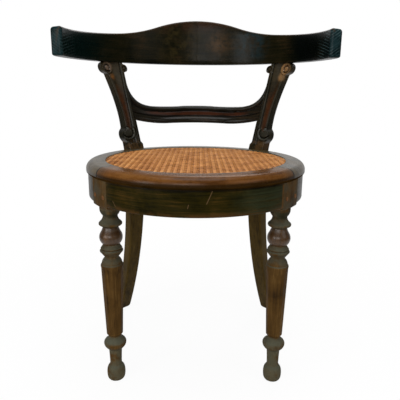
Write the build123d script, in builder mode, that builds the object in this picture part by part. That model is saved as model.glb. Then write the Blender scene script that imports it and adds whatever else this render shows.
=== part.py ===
from build123d import *
import os
from math import asin, atan, cos, degrees, radians, sin, sqrt

# Round cane chair with turned front legs, sabre rear legs and a bow-shaped crest rail.
# Millimetres, +Z up, the sitter looks towards -Y. Angles run about the seat's upright axis,
# from 0 straight behind the sitter, growing towards +X.

# Seat ring, in four segments
seat_radius = 235
seat_height = 462
ring_thickness = 23.5
ring_width = 49
ring_top_round = 16
ring_under_round = 5
ring_lip_round = 1.2

# Cane panel, lying in a rebate round the bore
rebate_width = 8.5
cane_thickness = 2.4
rebate_depth = 3.2
cane_gap_pitch = 20
cane_gap_width = 9
cane_margin = 12

# Apron
apron_overhang = 3.5
apron_thickness = 22
apron_height = 49.5

# Front legs: heights of the turned parts from the floor up to the column, then down from the block
front_leg_angle = 126.5
front_leg_inset = 22.5
block_width = 60
block_depth = 45
block_drop = 6
block_round = 5
foot_radius = 19.3
sole_radius = 13
foot_height = 35
ankle_radius = 12.9
ankle_height = 33
ring_bead_radius = 23.1
ring_bead_height = 33.5
column_neck_height = 7
column_foot_radius = 17.1
column_head_radius = 22.2
column_sides = 8
facet_arch_height = 12
neck_radius = 14.4
turning_radius = 23.2
shoulder_height = 22
low_disc_height = 27
vase_height = 35
high_disc_height = 24
collar_height = 18
collar_radius = 20.5

# Rear legs, each one piece from floor to crest
rear_leg_angle = 45
rear_leg_depth = 29
rear_leg_width = 44
rear_foot_sweep = 74
rear_foot_depth = 24
rear_foot_width = 33
post_inner_side = 12.5
post_neck_side = 20
post_head_side = 34
post_hollow = 4
post_head_depth = 23
post_base_height = 12
post_waist_height = 40
low_volute_radius = 20
low_volute_offset = 9
low_volute_height = 33
boss_radius = 10.5
boss_proud = 2.5
outer_volute_radius = 14
outer_volute_overhang = 1
inner_volute_radius = 9.5
inner_volute_overhang = 2.4
flute_width = 12
flute_depth = 2.5
flute_length = 100

# Crest rail, in two halves
crest_radius = 301
crest_thickness = 24
crest_bottom = 674
crest_centre_height = 111
crest_end_angle = 91
crown_half_width = 105
crown_drop = 19
crest_shoulder_radius = 413
crest_shoulder_angle = 13.6
crest_round = 5

# Cross rail
rail_thickness = 20
rail_inset = 2
rail_bottom = 521.5
rail_height = 44.5
rail_wave = 2.5
horn_width = 69
horn_height = 67
rail_end_rise = 29
rail_toe_start = 80
low_bead_height = 18
middle_band_height = 11
bead_bulge = 3
band_bulge = 1
rail_groove = 1.5

# Joinery
tenon_thickness = 9
tenon_height = 34
tenon_length = 20
rear_tenon_length = 16
rail_tenon_thickness = 8
rail_tenon_height = 24
rail_tenon_length = 15
peg_diameter = 9
peg_length = 27
peg_proud = 0.7
peg_drop = 8
front_peg_offset = 17.7
rear_peg_offset = 14
dowel_diameter = 8
ring_dowel_length = 24
ring_dowel_spread = 25
seam_dowel_length = 36
seam_dowel_inset = 34
crest_dowel_diameter = 10
crest_dowel_length = 50
crest_dowel_spacing = 46
post_dowel_length = 44
post_dowel_depth = 18
post_dowel_spread = 14
joint_clearance = 0.2

# Levels and radii that follow from these
ring_bottom = seat_height - ring_thickness
ring_bore_radius = seat_radius - ring_width
cane_radius = ring_bore_radius + rebate_width
apron_bottom = ring_bottom - apron_height
apron_middle = (ring_bottom + apron_bottom) / 2
apron_radius = seat_radius - apron_overhang
apron_inner_radius = apron_radius - apron_thickness
apron_mid_radius = apron_radius - apron_thickness / 2
block_bottom = apron_bottom - block_drop
half_block = block_width / 2
front_leg_radius = apron_radius - front_leg_inset
half_rear_leg = rear_leg_width / 2
rear_leg_front = apron_inner_radius
rear_leg_back = rear_leg_front + rear_leg_depth
crest_inner_radius = crest_radius - crest_thickness
crest_mid_radius = crest_radius - crest_thickness / 2
post_head_front = crest_mid_radius - post_head_depth / 2
post_lean = (post_head_front - rear_leg_front) / (crest_bottom - seat_height)
lean_angle = degrees(atan(post_lean))
rail_top = rail_bottom + rail_height
seat_centre = Vector(0, (seat_radius - crest_radius) / 2, 0)
seat_axis = Axis(seat_centre, (0, 0, 1))
up = Vector(0, 0, 1)
beyond = 2 * crest_radius


def outward(angle):
    """Unit vector away from the seat's axis at this angle."""
    return Vector(sin(radians(angle)), cos(radians(angle)), 0)


def sideways(angle):
    """Unit vector round the seat, towards larger angles."""
    return Vector(cos(radians(angle)), -sin(radians(angle)), 0)


def place(angle, radius, offset=0, height=0):
    """Point at a distance from the seat's axis, moved sideways and up."""
    return seat_centre + outward(angle) * radius + sideways(angle) * offset + up * height


def profile_plane(angle):
    """Upright plane through the seat's axis: x is the distance from it, y the height."""
    return Plane(seat_centre, x_dir=outward(angle), z_dir=outward(angle).cross(up))


def facing_plane(angle):
    """Upright plane across this angle, seen from the seat's axis: x runs sideways, y is the height."""
    return Plane(seat_centre, x_dir=sideways(angle), z_dir=-outward(angle))


def reach(radius, offset):
    """Distance along an angle at which a sideways offset meets a circle about the seat."""
    return sqrt(radius**2 - offset**2)


def post_front(height):
    """Distance of the leaning post's front face from the seat's axis."""
    return rear_leg_front + post_lean * (height - seat_height)


def sector(inner, outer, first, last, height):
    """Ring sector at a height, ending on two lines, each given as an angle and a sideways offset."""
    middle = (first[0] + last[0]) / 2
    with BuildSketch(Plane.XY.offset(height)) as flat:
        with BuildLine():
            ends = []
            for radius in (inner, outer):
                start, stop = [place(angle, reach(radius, offset), offset) for angle, offset in (first, last)]
                ThreePointArc(start, place(middle, radius), stop)
                ends.append((start, stop))
            for from_point, to_point in zip(*ends):
                Line(from_point, to_point)
        make_face()
    return flat.sketch


def stub(plane, thickness, height, length, gap=0, mode=Mode.ADD):
    """Rectangular tenon that starts on a plane, or with a gap its mortise."""
    with BuildSketch(plane) as face:
        Rectangle(thickness + 2 * gap, height + 2 * gap)
    extrude(face.sketch, amount=length + gap, mode=mode)


def pin(plane, diameter, length, gap=0, mode=Mode.ADD):
    """Round peg or dowel that starts on a plane, or with a gap its hole."""
    with BuildSketch(plane.offset(-gap)) as face:
        Circle(diameter / 2 + gap)
    extrude(face.sketch, amount=length + 2 * gap, mode=mode)


def holes(planes, diameter, length):
    """Cuts the holes of some pegs or dowels."""
    for plane in planes:
        pin(plane, diameter, length, joint_clearance, Mode.SUBTRACT)


def tenon_plane(angle, radius, offset, height):
    """Plane on the side of a leg where a rail meets it, looking into the leg."""
    into_leg = sideways(angle) * (-1 if offset > 0 else 1)
    return Plane(place(angle, reach(radius, offset), offset, height), x_dir=outward(angle), z_dir=into_leg)


def apron_tenon_plane(angle, offset):
    """Plane on the side of a leg where an apron meets it, looking into the leg."""
    return tenon_plane(angle, apron_mid_radius, offset, apron_middle)


def peg_plane(angle, offset, face_radius):
    """Plane at a peg's outer end, looking towards the seat's axis."""
    start = place(angle, face_radius + peg_proud, offset, apron_middle - peg_drop)
    return Plane(start, x_dir=sideways(angle), z_dir=-outward(angle))


def level_dowel_plane(angle, radius, height, length):
    """Plane at one end of a dowel that lies level across a seam at this angle."""
    return Plane(place(angle, radius, -length / 2, height), x_dir=outward(angle), z_dir=sideways(angle))


def mirrored(part):
    """The same piece on the other side of the chair."""
    return mirror(part, about=Plane.YZ)


# Where the pegs and dowels start, on both sides of the chair
both_sides = (1, -1)
front_pegs = [
    peg_plane(turn * front_leg_angle, side * front_peg_offset, apron_radius)
    for turn in both_sides
    for side in both_sides
]
rear_pegs = [
    peg_plane(turn * rear_leg_angle, side * rear_peg_offset, rear_leg_back)
    for turn in both_sides
    for side in both_sides
]
side_middle = (rear_leg_angle + front_leg_angle) / 2
ring_dowel_angles = [ring_dowel_spread, side_middle - ring_dowel_spread]
ring_dowel_angles += [side_middle + ring_dowel_spread, 180 - ring_dowel_spread]
ring_dowels = [
    Plane(place(turn * angle, apron_mid_radius, 0, ring_bottom - ring_dowel_length / 2))
    for turn in both_sides
    for angle in ring_dowel_angles
]
seam_level = ring_bottom + (ring_thickness - rebate_depth) / 2
seam_dowels = [
    level_dowel_plane(turn * angle, seat_radius - seam_dowel_inset, seam_level, seam_dowel_length)
    for turn in both_sides
    for angle in (rear_leg_angle, front_leg_angle)
]
crest_middle = crest_bottom + crest_centre_height / 2
crest_dowels = [
    level_dowel_plane(0, crest_mid_radius, crest_middle + side * crest_dowel_spacing / 2, crest_dowel_length)
    for side in both_sides
]
post_dowel_base = crest_bottom - post_dowel_depth
post_dowel_radius = (post_head_front + post_front(post_dowel_base) + post_head_depth) / 2
post_dowel_offset = (post_head_side - post_inner_side) / 2
post_dowels = [
    Plane(
        place(
            turn * rear_leg_angle,
            post_dowel_radius,
            turn * (post_dowel_offset + side * post_dowel_spread),
            post_dowel_base,
        )
    )
    for turn in both_sides
    for side in both_sides
]
rail_tenon_level = (rail_bottom + rail_end_rise + rail_top) / 2
rail_mid_radius = post_front(rail_tenon_level) + rail_inset + rail_thickness / 2
rail_tenons = [
    tenon_plane(turn * rear_leg_angle, rail_mid_radius, -turn * post_inner_side, rail_tenon_level)
    for turn in both_sides
]

# Front legs: a turned leg under a shoulder block that stands between two apron pieces
front_axis = place(front_leg_angle, front_leg_radius)
ankle_top = foot_height + ankle_height
ring_bead_top = ankle_top + ring_bead_height
column_foot = ring_bead_top + column_neck_height
collar_waist = block_bottom - collar_height
vase_neck = collar_waist - high_disc_height
vase_waist = vase_neck - vase_height
disc_waist = vase_waist - low_disc_height
column_head = disc_waist - shoulder_height

with BuildPart() as column_waste:
    with Locations(front_axis + up * (column_foot + column_head) / 2):
        Cylinder(2 * column_head_radius, column_head - column_foot)
    arch_foot = column_head - facet_arch_height
    arch_radius = column_head_radius / cos(radians(180 / column_sides))
    facets = ((column_foot, column_foot_radius), (arch_foot, column_head_radius), (column_head, arch_radius))
    for level, radius in facets:
        with BuildSketch(Plane(front_axis + up * level, x_dir=outward(front_leg_angle))):
            RegularPolygon(radius, column_sides, rotation=180 / column_sides)
    loft(ruled=True, mode=Mode.SUBTRACT)

with BuildPart() as front_leg_right:
    with BuildSketch(Plane(front_axis, x_dir=(1, 0, 0), z_dir=(0, -1, 0))):
        with BuildLine():
            ball = ThreePointArc(
                (sole_radius, 0), (foot_radius, foot_height / 2), (ankle_radius, foot_height)
            )
            bead_foot = (ankle_radius * 1.3, ankle_top + 0.15 * ring_bead_height)
            bead_head = (ankle_radius * 1.2, ring_bead_top - 0.1 * ring_bead_height)
            Polyline(ball @ 1, (ankle_radius, ankle_top), bead_foot)
            ThreePointArc(bead_foot, (ring_bead_radius, ankle_top + 0.54 * ring_bead_height), bead_head)
            Polyline(
                bead_head,
                (ankle_radius, ring_bead_top),
                (ankle_radius, ring_bead_top + 0.4 * column_neck_height),
                (column_foot_radius, column_foot),
                (column_head_radius, column_head),
            )
            bead = ThreePointArc(
                (column_head_radius, column_head),
                (column_head_radius * 1.03, column_head + 0.16 * shoulder_height),
                (column_head_radius * 0.97, column_head + 0.32 * shoulder_height),
            )
            dome = ThreePointArc(
                bead @ 1,
                (column_head_radius * 0.85, column_head + 0.66 * shoulder_height),
                (neck_radius, disc_waist - 0.1 * shoulder_height),
            )
            low_rim = (turning_radius * 0.91, disc_waist + 0.35 * low_disc_height)
            high_rim = (turning_radius * 0.91, disc_waist + 0.67 * low_disc_height)
            Polyline(dome @ 1, (neck_radius, disc_waist), low_rim)
            ThreePointArc(low_rim, (turning_radius, disc_waist + 0.5 * low_disc_height), high_rim)
            vase_foot = (neck_radius * 1.18, vase_waist)
            Line(high_rim, vase_foot)
            belly = ThreePointArc(
                vase_foot,
                (turning_radius, vase_waist + 0.38 * vase_height),
                (turning_radius * 0.87, vase_waist + 0.69 * vase_height),
            )
            low_edge = (turning_radius * 0.94, vase_neck + 0.17 * high_disc_height)
            high_edge = (turning_radius * 0.94, vase_neck + 0.44 * high_disc_height)
            Polyline(belly @ 1, (neck_radius * 1.08, vase_neck), low_edge)
            ThreePointArc(low_edge, (turning_radius, vase_neck + 0.31 * high_disc_height), high_edge)
            ThreePointArc(
                high_edge,
                (neck_radius * 1.17, vase_neck + 0.65 * high_disc_height),
                (neck_radius, collar_waist),
            )
            collar = ThreePointArc(
                (neck_radius, collar_waist),
                (collar_radius * 0.9, collar_waist + 0.3 * collar_height),
                (collar_radius, collar_waist + 0.66 * collar_height),
            )
            block_core = block_bottom + block_round
            Polyline(collar @ 1, (collar_radius, block_core), (0, block_core), (0, 0), ball @ 0)
        make_face()
    revolve(axis=Axis(front_axis, up))
    add(column_waste.part, mode=Mode.SUBTRACT)
    block_sides = [(front_leg_angle, -half_block), (front_leg_angle, half_block)]
    shoulder = extrude(
        sector(apron_radius - block_depth, apron_radius, *block_sides, block_bottom),
        amount=ring_bottom - block_bottom,
    )
    fillet(shoulder.faces().sort_by(Axis.Z)[0].outer_wire().edges(), block_round)
    for angle, offset in block_sides:
        stub(
            apron_tenon_plane(angle, offset),
            tenon_thickness,
            tenon_height,
            tenon_length,
            joint_clearance,
            Mode.SUBTRACT,
        )
    holes(front_pegs, peg_diameter, peg_length)

with BuildPart() as front_leg_left:
    mirrored(front_leg_right.part)

# Rear legs: a side profile crossed with a front outline, as a bandsaw cuts them
post_base = seat_height + post_base_height
post_waist = seat_height + post_waist_height
low_volute_level = seat_height + low_volute_height
volute_level = crest_bottom - outer_volute_radius
outer_volute_offset = post_head_side + outer_volute_overhang
inner_volute_offset = -post_inner_side - inner_volute_overhang
face_direction = up * sin(radians(lean_angle)) - outward(rear_leg_angle) * cos(radians(lean_angle))


def post_face_plane(offset, height):
    """Plane on the front face of the right post."""
    start = place(rear_leg_angle, post_front(height), offset, height)
    return Plane(start, x_dir=sideways(rear_leg_angle), z_dir=face_direction)


with BuildPart() as rear_leg_right:
    with BuildSketch(profile_plane(rear_leg_angle)):
        with BuildLine():
            foot_front = rear_leg_front + rear_foot_sweep
            foot_back = foot_front + rear_foot_depth
            head_back = post_head_front + post_head_depth
            TangentArc((rear_leg_front, apron_bottom), (foot_front, 0), tangent=(0, -1))
            TangentArc((rear_leg_back, apron_bottom), (foot_back, 0), tangent=(0, -1))
            Line((foot_front, 0), (foot_back, 0))
            Polyline(
                (rear_leg_front, apron_bottom),
                (rear_leg_front, seat_height),
                (post_head_front, crest_bottom),
                (head_back, crest_bottom),
                (rear_leg_back, seat_height),
                (rear_leg_back, apron_bottom),
            )
        make_face()
    extrude(amount=beyond, both=True)
    with BuildSketch(facing_plane(rear_leg_angle)):
        with BuildLine():
            Line((-post_inner_side, crest_bottom), (-post_inner_side, post_waist))
            TangentArc((-post_inner_side, post_waist), (-half_rear_leg, post_base), tangent=(0, -1))
            Polyline(
                (-half_rear_leg, post_base),
                (-half_rear_leg, apron_bottom),
                (-rear_foot_width / 2, 0),
                (rear_foot_width / 2, 0),
                (half_rear_leg, apron_bottom),
                (half_rear_leg, post_base),
                (post_neck_side, post_waist),
            )
            post_middle = (post_waist + crest_bottom) / 2
            ThreePointArc(
                (post_neck_side, post_waist),
                ((post_neck_side + post_head_side) / 2 - post_hollow, post_middle),
                (post_head_side, volute_level),
            )
            Polyline(
                (post_head_side, volute_level),
                (post_head_side, crest_bottom),
                (-post_inner_side, crest_bottom),
            )
        make_face()
        with Locations((low_volute_offset, low_volute_level)):
            Circle(low_volute_radius)
        with Locations((outer_volute_offset, volute_level)):
            Circle(outer_volute_radius)
        with Locations((inner_volute_offset, volute_level)):
            Circle(inner_volute_radius)
    extrude(amount=-beyond, mode=Mode.INTERSECT)
    with BuildSketch(post_face_plane(low_volute_offset, low_volute_level)):
        Circle(boss_radius)
    extrude(amount=boss_proud)
    flute_middle = (low_volute_level + low_volute_radius + volute_level) / 2
    flute_offset = (post_neck_side + post_head_side - 2 * post_inner_side) / 4
    with BuildSketch(post_face_plane(flute_offset, flute_middle)):
        SlotOverall(flute_length, flute_width, rotation=90)
    extrude(amount=-flute_depth, mode=Mode.SUBTRACT)
    for offset in (-half_rear_leg, half_rear_leg):
        stub(
            apron_tenon_plane(rear_leg_angle, offset),
            tenon_thickness,
            tenon_height,
            rear_tenon_length,
            joint_clearance,
            Mode.SUBTRACT,
        )
    holes(rear_pegs, peg_diameter, peg_length)
    holes(post_dowels, dowel_diameter, post_dowel_length)
    stub(
        rail_tenons[0],
        rail_tenon_thickness,
        rail_tenon_height,
        rail_tenon_length,
        joint_clearance,
        Mode.SUBTRACT,
    )

with BuildPart() as rear_leg_left:
    mirrored(rear_leg_right.part)

# Apron pieces, tenoned into the legs
right_ends = [(rear_leg_angle, half_rear_leg), (front_leg_angle, -half_block)]
front_ends = [(front_leg_angle, half_block), (360 - front_leg_angle, -half_block)]
rear_ends = [(-rear_leg_angle, half_rear_leg), (rear_leg_angle, -half_rear_leg)]


def apron(ends):
    """Curved apron piece between two legs, with a tenon at each end."""
    extrude(sector(apron_inner_radius, apron_radius, *ends, apron_bottom), amount=apron_height)
    for angle, offset in ends:
        length = rear_tenon_length if abs(offset) == half_rear_leg else tenon_length
        stub(apron_tenon_plane(angle, offset), tenon_thickness, tenon_height, length)
    holes(front_pegs + rear_pegs, peg_diameter, peg_length)
    holes(ring_dowels, dowel_diameter, ring_dowel_length)


with BuildPart() as apron_right:
    apron(right_ends)

with BuildPart() as apron_left:
    mirrored(apron_right.part)

with BuildPart() as apron_front:
    apron(front_ends)

with BuildPart() as apron_rear:
    apron(rear_ends)

# Seat ring segments, notched round the rear legs
rebate_level = seat_height - rebate_depth


def ring_segment(first, last):
    """Segment of the seat ring between two seams."""
    with BuildSketch(profile_plane(last)) as section:
        with BuildLine():
            Polyline(
                (ring_bore_radius, ring_bottom),
                (seat_radius, ring_bottom),
                (seat_radius, seat_height),
                (cane_radius, seat_height),
                (cane_radius, rebate_level),
                (ring_bore_radius, rebate_level),
                close=True,
            )
        make_face()
        corners = section.vertices().group_by(Axis.X)
        under, top = corners[-1].sort_by(Axis.Y)
        lip = corners[1].sort_by(Axis.Y)[-1]
        fillet(top, ring_top_round)
        fillet(under, ring_under_round)
        fillet(lip, ring_lip_round)
    revolve(section.sketch, axis=seat_axis, revolution_arc=last - first)
    for turn in both_sides:
        angle = turn * rear_leg_angle
        notch_floor = place(angle, rear_leg_front - joint_clearance, 0, ring_bottom)
        with BuildSketch(Plane(notch_floor, x_dir=outward(angle))) as notch:
            Rectangle(seat_radius, rear_leg_width + 2 * joint_clearance, align=(Align.MIN, Align.CENTER))
        extrude(notch.sketch, amount=ring_thickness, mode=Mode.SUBTRACT)
    holes(ring_dowels, dowel_diameter, ring_dowel_length)
    holes(seam_dowels, dowel_diameter, seam_dowel_length)


with BuildPart() as seat_ring_right:
    ring_segment(rear_leg_angle, front_leg_angle)

with BuildPart() as seat_ring_left:
    mirrored(seat_ring_right.part)

with BuildPart() as seat_ring_front:
    ring_segment(front_leg_angle, 360 - front_leg_angle)

with BuildPart() as seat_ring_rear:
    ring_segment(-rear_leg_angle, rear_leg_angle)

# Cane panel: a thin woven sheet, its gaps as one grid
net_radius = cane_radius - cane_margin
gap_count = int(net_radius / cane_gap_pitch)
gap_places = [
    (cane_gap_pitch * column, cane_gap_pitch * row)
    for column in range(-gap_count, gap_count + 1)
    for row in range(-gap_count, gap_count + 1)
    if cane_gap_pitch * sqrt(column**2 + row**2) < net_radius - cane_gap_width
]
with BuildPart() as cane_panel:
    with BuildSketch(Plane(seat_centre + up * rebate_level)):
        Circle(cane_radius - joint_clearance)
        with Locations(*gap_places):
            Rectangle(cane_gap_width, cane_gap_width, mode=Mode.SUBTRACT)
    extrude(amount=cane_thickness)

# Crest rail: half a bow, raised in the middle, butted against its other half
crown_radius = (crown_half_width**2 + crown_drop**2) / (2 * crown_drop)
crown_turn = degrees(asin(crown_half_width / crown_radius))
with BuildPart() as crest_rail_right:
    crest_ends = [(0, 0), (crest_end_angle, 0)]
    extrude(
        sector(crest_inner_radius, crest_radius, *crest_ends, crest_bottom), amount=crest_centre_height
    )
    with BuildSketch(Plane.XZ):
        with BuildLine():
            crown = JernArc((0, crest_bottom + crest_centre_height), (1, 0), crown_radius, -crown_turn)
            shoulder_curve = JernArc(crown @ 1, crown % 1, crest_shoulder_radius, crest_shoulder_angle)
            arm = PolarLine(shoulder_curve @ 1, crest_radius, direction=shoulder_curve % 1)
            Polyline(arm @ 1, ((arm @ 1).X, crest_bottom), (0, crest_bottom), crown @ 0)
        make_face()
    extrude(amount=beyond, both=True, mode=Mode.INTERSECT)
    top_edges = crest_rail_right.edges().filter_by(lambda edge: edge.center().Z > crest_bottom + crest_round)
    seam_edges = crest_rail_right.edges().filter_by_position(Axis.X, 0, 0.01)
    fillet([edge for edge in top_edges if edge not in seam_edges], crest_round)
    holes(crest_dowels, crest_dowel_diameter, crest_dowel_length)
    holes(post_dowels, dowel_diameter, post_dowel_length)

with BuildPart() as crest_rail_left:
    mirrored(crest_rail_right.part)

# Cross rail: curved and leaning like the posts, its top sweeping up against them
horn_top = rail_top + horn_height
rail_half_length = place(rear_leg_angle, post_front(horn_top) + rail_thickness).X


def leaning(depth, height):
    """Point behind the leaning front plane of the posts, in the profile plane."""
    return (post_front(height) + depth, height)


def bulge(low, high, depth, amount):
    """Convex moulding between two heights on the rail's front."""
    ThreePointArc(leaning(depth, low), leaning(depth - amount, (low + high) / 2), leaning(depth, high))


with BuildPart() as back_cross_rail:
    rail_low = rail_bottom - rail_wave
    rail_back = rail_inset + rail_thickness
    bead_depth = rail_inset + bead_bulge
    band_low = rail_bottom + low_bead_height
    band_high = band_low + middle_band_height
    with BuildSketch(profile_plane(180)) as rail_section:
        with BuildLine():
            bulge(rail_low, band_low, bead_depth, bead_bulge)
            bulge(band_low, band_high, bead_depth, band_bulge)
            Polyline(leaning(bead_depth, band_high), leaning(bead_depth, band_high + rail_groove))
            bulge(band_high + rail_groove, rail_top, bead_depth, bead_bulge)
            Polyline(
                leaning(bead_depth, rail_top),
                leaning(bead_depth, horn_top),
                leaning(rail_back, horn_top),
                leaning(rail_back, rail_low),
                leaning(bead_depth, rail_low),
            )
        make_face()
    revolve(rail_section.sketch, axis=seat_axis)
    rail_ends = [(-rear_leg_angle, post_inner_side), (rear_leg_angle, -post_inner_side)]
    extrude(
        sector(rear_leg_front - rail_thickness, crest_radius, *rail_ends, rail_low),
        amount=horn_top - rail_low,
        mode=Mode.INTERSECT,
    )
    with BuildSketch(Plane.XZ):
        with BuildLine():
            toe_top = rail_bottom + rail_end_rise
            toes = []
            for side in both_sides:
                toe_start = (side * rail_toe_start, rail_bottom)
                toes.append(TangentArc(toe_start, (side * rail_half_length, toe_top), tangent=(side, 0)))
            ThreePointArc(toes[1] @ 0, (0, rail_bottom + rail_wave), toes[0] @ 0)
            Polyline(
                toes[0] @ 1,
                (rail_half_length, horn_top),
                (-rail_half_length, horn_top),
                toes[1] @ 1,
            )
        make_face()
    extrude(amount=beyond, both=True, mode=Mode.INTERSECT)
    for turn in both_sides:
        with BuildSketch(facing_plane(turn * rear_leg_angle)):
            with BuildLine():
                horn_start = (-turn * (post_inner_side + horn_width), rail_top)
                window_end = -turn * crest_radius * sin(radians(rear_leg_angle))
                horn = TangentArc(horn_start, (-turn * post_inner_side, horn_top), tangent=(turn, 0))
                Polyline(horn @ 1, (window_end, horn_top), (window_end, rail_top), horn_start)
            make_face()
        extrude(amount=-beyond, mode=Mode.SUBTRACT)
    for plane in rail_tenons:
        stub(plane, rail_tenon_thickness, rail_tenon_height, rail_tenon_length)


def pins(planes, diameter, length):
    """A group of equal pegs or dowels."""
    for plane in planes:
        pin(plane, diameter, length)


with BuildPart() as front_leg_pegs:
    pins(front_pegs, peg_diameter, peg_length)

with BuildPart() as rear_leg_pegs:
    pins(rear_pegs, peg_diameter, peg_length)

with BuildPart() as ring_joint_dowels:
    pins(seam_dowels, dowel_diameter, seam_dowel_length)

with BuildPart() as ring_apron_dowels:
    pins(ring_dowels, dowel_diameter, ring_dowel_length)

with BuildPart() as crest_joint_dowels:
    pins(crest_dowels, crest_dowel_diameter, crest_dowel_length)

with BuildPart() as post_top_dowels:
    pins(post_dowels, dowel_diameter, post_dowel_length)

pieces = {
    "front_leg_left": front_leg_left,
    "front_leg_right": front_leg_right,
    "rear_leg_left": rear_leg_left,
    "rear_leg_right": rear_leg_right,
    "apron_front": apron_front,
    "apron_left": apron_left,
    "apron_right": apron_right,
    "apron_rear": apron_rear,
    "seat_ring_front": seat_ring_front,
    "seat_ring_left": seat_ring_left,
    "seat_ring_right": seat_ring_right,
    "seat_ring_rear": seat_ring_rear,
    "cane_panel": cane_panel,
    "crest_rail_left": crest_rail_left,
    "crest_rail_right": crest_rail_right,
    "back_cross_rail": back_cross_rail,
    "front_leg_pegs": front_leg_pegs,
    "rear_leg_pegs": rear_leg_pegs,
    "ring_joint_dowels": ring_joint_dowels,
    "ring_apron_dowels": ring_apron_dowels,
    "crest_joint_dowels": crest_joint_dowels,
    "post_top_dowels": post_top_dowels,
}
os.makedirs("parts", exist_ok=True)
for name, piece in pieces.items():
    piece.part.label = name
    export_step(piece.part, f"parts/{name}.step")
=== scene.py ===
import cmath
from math import asin, atan2, copysign, cos, degrees, dist, hypot, pi, radians, sin, sqrt, tan, tau

import bmesh
import bpy
from mathutils import Matrix, Vector


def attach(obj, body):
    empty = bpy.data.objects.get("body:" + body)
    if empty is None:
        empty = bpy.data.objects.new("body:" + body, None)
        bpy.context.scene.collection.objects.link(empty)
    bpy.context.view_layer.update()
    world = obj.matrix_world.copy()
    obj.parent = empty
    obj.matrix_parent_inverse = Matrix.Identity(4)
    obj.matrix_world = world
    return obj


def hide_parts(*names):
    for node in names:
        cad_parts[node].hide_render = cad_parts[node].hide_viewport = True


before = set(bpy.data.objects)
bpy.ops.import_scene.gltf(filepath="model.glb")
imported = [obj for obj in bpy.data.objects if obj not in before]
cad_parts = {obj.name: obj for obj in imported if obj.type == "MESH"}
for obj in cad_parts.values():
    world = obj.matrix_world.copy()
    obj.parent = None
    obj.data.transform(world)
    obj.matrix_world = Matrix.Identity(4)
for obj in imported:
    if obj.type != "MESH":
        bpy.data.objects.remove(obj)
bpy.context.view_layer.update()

# Sizes repeat the solid model's, in millimetres. Angles run about the seat's axis, from straight behind the
# sitter towards +X; u runs sideways at an angle, and radii are distances from the axis.
MM = 0.001
SEAT_Y = -33.0
SEAT_R, SEAT_Z, RING_LOW = 235.0, 462.0, 438.5
BORE_R, CANE_R, REBATE_Z = 186.0, 194.5, 458.8
APRON_R, APRON_IN, APRON_LOW, APRON_ROUND = 231.5, 209.5, 389.0, 1.6
FRONT_ANGLE, FRONT_R = 126.5, 209.0
BLOCK_HALF, BLOCK_LOW, BLOCK_BACK, BLOCK_ROUND = 30.0, 383.0, 186.5, 5.0
REAR_ANGLE, REAR_HALF, REAR_BACK, REAR_FOOT_HALF = 45.0, 22.0, 238.5, 16.5
POST_LEAN, POST_BACK, POST_INNER = 0.320755, 300.5, 12.5
POST_FOOT, POST_WAIST = 474.0, 502.0
RAIL_TOP, RAIL_LOW, RAIL_BACK = 566.0, 521.5, 22.0
CREST_OUT, CREST_IN, CREST_LOW, CREST_MID_TOP, CREST_END = 301.0, 277.0, 674.0, 785.0, 91.0
PEG_Z = 405.75
GRAIN_R = 0.25  # metres of grain to a radian round the seat
PLAIN = (0, 0, 0)  # marks of a vertex without carving


def at(angle, radius, offset, height):
    """Point from an angle, a distance from the seat's axis, a sideways offset and a height."""
    a = radians(angle)
    return (radius * sin(a) + offset * cos(a), SEAT_Y + radius * cos(a) - offset * sin(a), height)


def arc(a, b, c, count):
    """Points on the arc from a through b to c, less than half a circle."""
    a, b, c = complex(*a), complex(*b), complex(*c)
    w = (c - a) / (b - a)
    middle = a + (b - a) * (w - abs(w) ** 2) / (2j * w.imag)
    turn = cmath.phase((c - middle) / (a - middle))
    points = [middle + (a - middle) * cmath.rect(1, turn * i / count) for i in range(count + 1)]
    return [(p.real, p.imag) for p in points]


def rounded(centre_r, centre_z, radius, turns):
    """Points of a round in a section, at angles of which 0 points outwards and 90 upwards."""
    return [(centre_r + radius * cos(t), centre_z + radius * sin(t)) for t in map(radians, turns)]


def smooth(x, low, high):
    """0 before low, 1 after high, softly between."""
    t = min(1, max(0, (x - low) / (high - low)))
    return t * t * (3 - 2 * t)


def hump(distance, half):
    """1 on a rounded line, falling to 0 at its half width."""
    return max(0, 1 - (distance / half) ** 2)


def corner_cut(distance, radius):
    """Depth of a rounded corner at a distance from the edge."""
    if distance >= radius:
        return 0
    return radius - sqrt(max(0, radius**2 - (radius - distance) ** 2))


def sag(distance, reach, rise):
    """Fall of an arc at a distance from its top, where it falls by rise over reach."""
    r = (reach**2 + rise**2) / (2 * rise)
    return r - sqrt(r**2 - distance**2)


def loft(rings):
    """Closed surface through rings of equal length, capped at both ends."""
    n = len(rings[0])
    faces = []
    for i in range(len(rings) - 1):
        for k in range(n):
            j = (k + 1) % n
            faces.append((i * n + k, i * n + j, (i + 1) * n + j, (i + 1) * n + k))
    last = (len(rings) - 1) * n
    faces += [tuple(range(n)), tuple(range(last, last + n))]
    return [p for ring in rings for p in ring], faces


def joined(parts):
    """Several shapes as one."""
    verts, faces = [], []
    for part_verts, part_faces in parts:
        base = len(verts)
        verts += part_verts
        faces += [tuple(base + i for i in face) for face in part_faces]
    return verts, faces


def mirrored(shape):
    """The same shape on the chair's other side."""
    verts, faces = shape
    return [(-x, y, z) for x, y, z in verts], faces


def polar_grain(x, y, z):
    """Grain runs round the seat, told from straight behind."""
    return (atan2(x, y - SEAT_Y) * GRAIN_R, (hypot(x, y - SEAT_Y) - 200) * MM, z * MM)


def front_grain(x, y, z):
    """Grain runs round the seat, told from straight ahead."""
    return polar_grain(x, 2 * SEAT_Y - y, z)


def upright_grain(x, y, z):
    """Grain runs up the piece."""
    return (z * MM, x * MM, y * MM)


def linked(name, data):
    """Object of the scene from its data."""
    obj = bpy.data.objects.new(name, data)
    bpy.context.scene.collection.objects.link(obj)
    return obj


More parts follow.
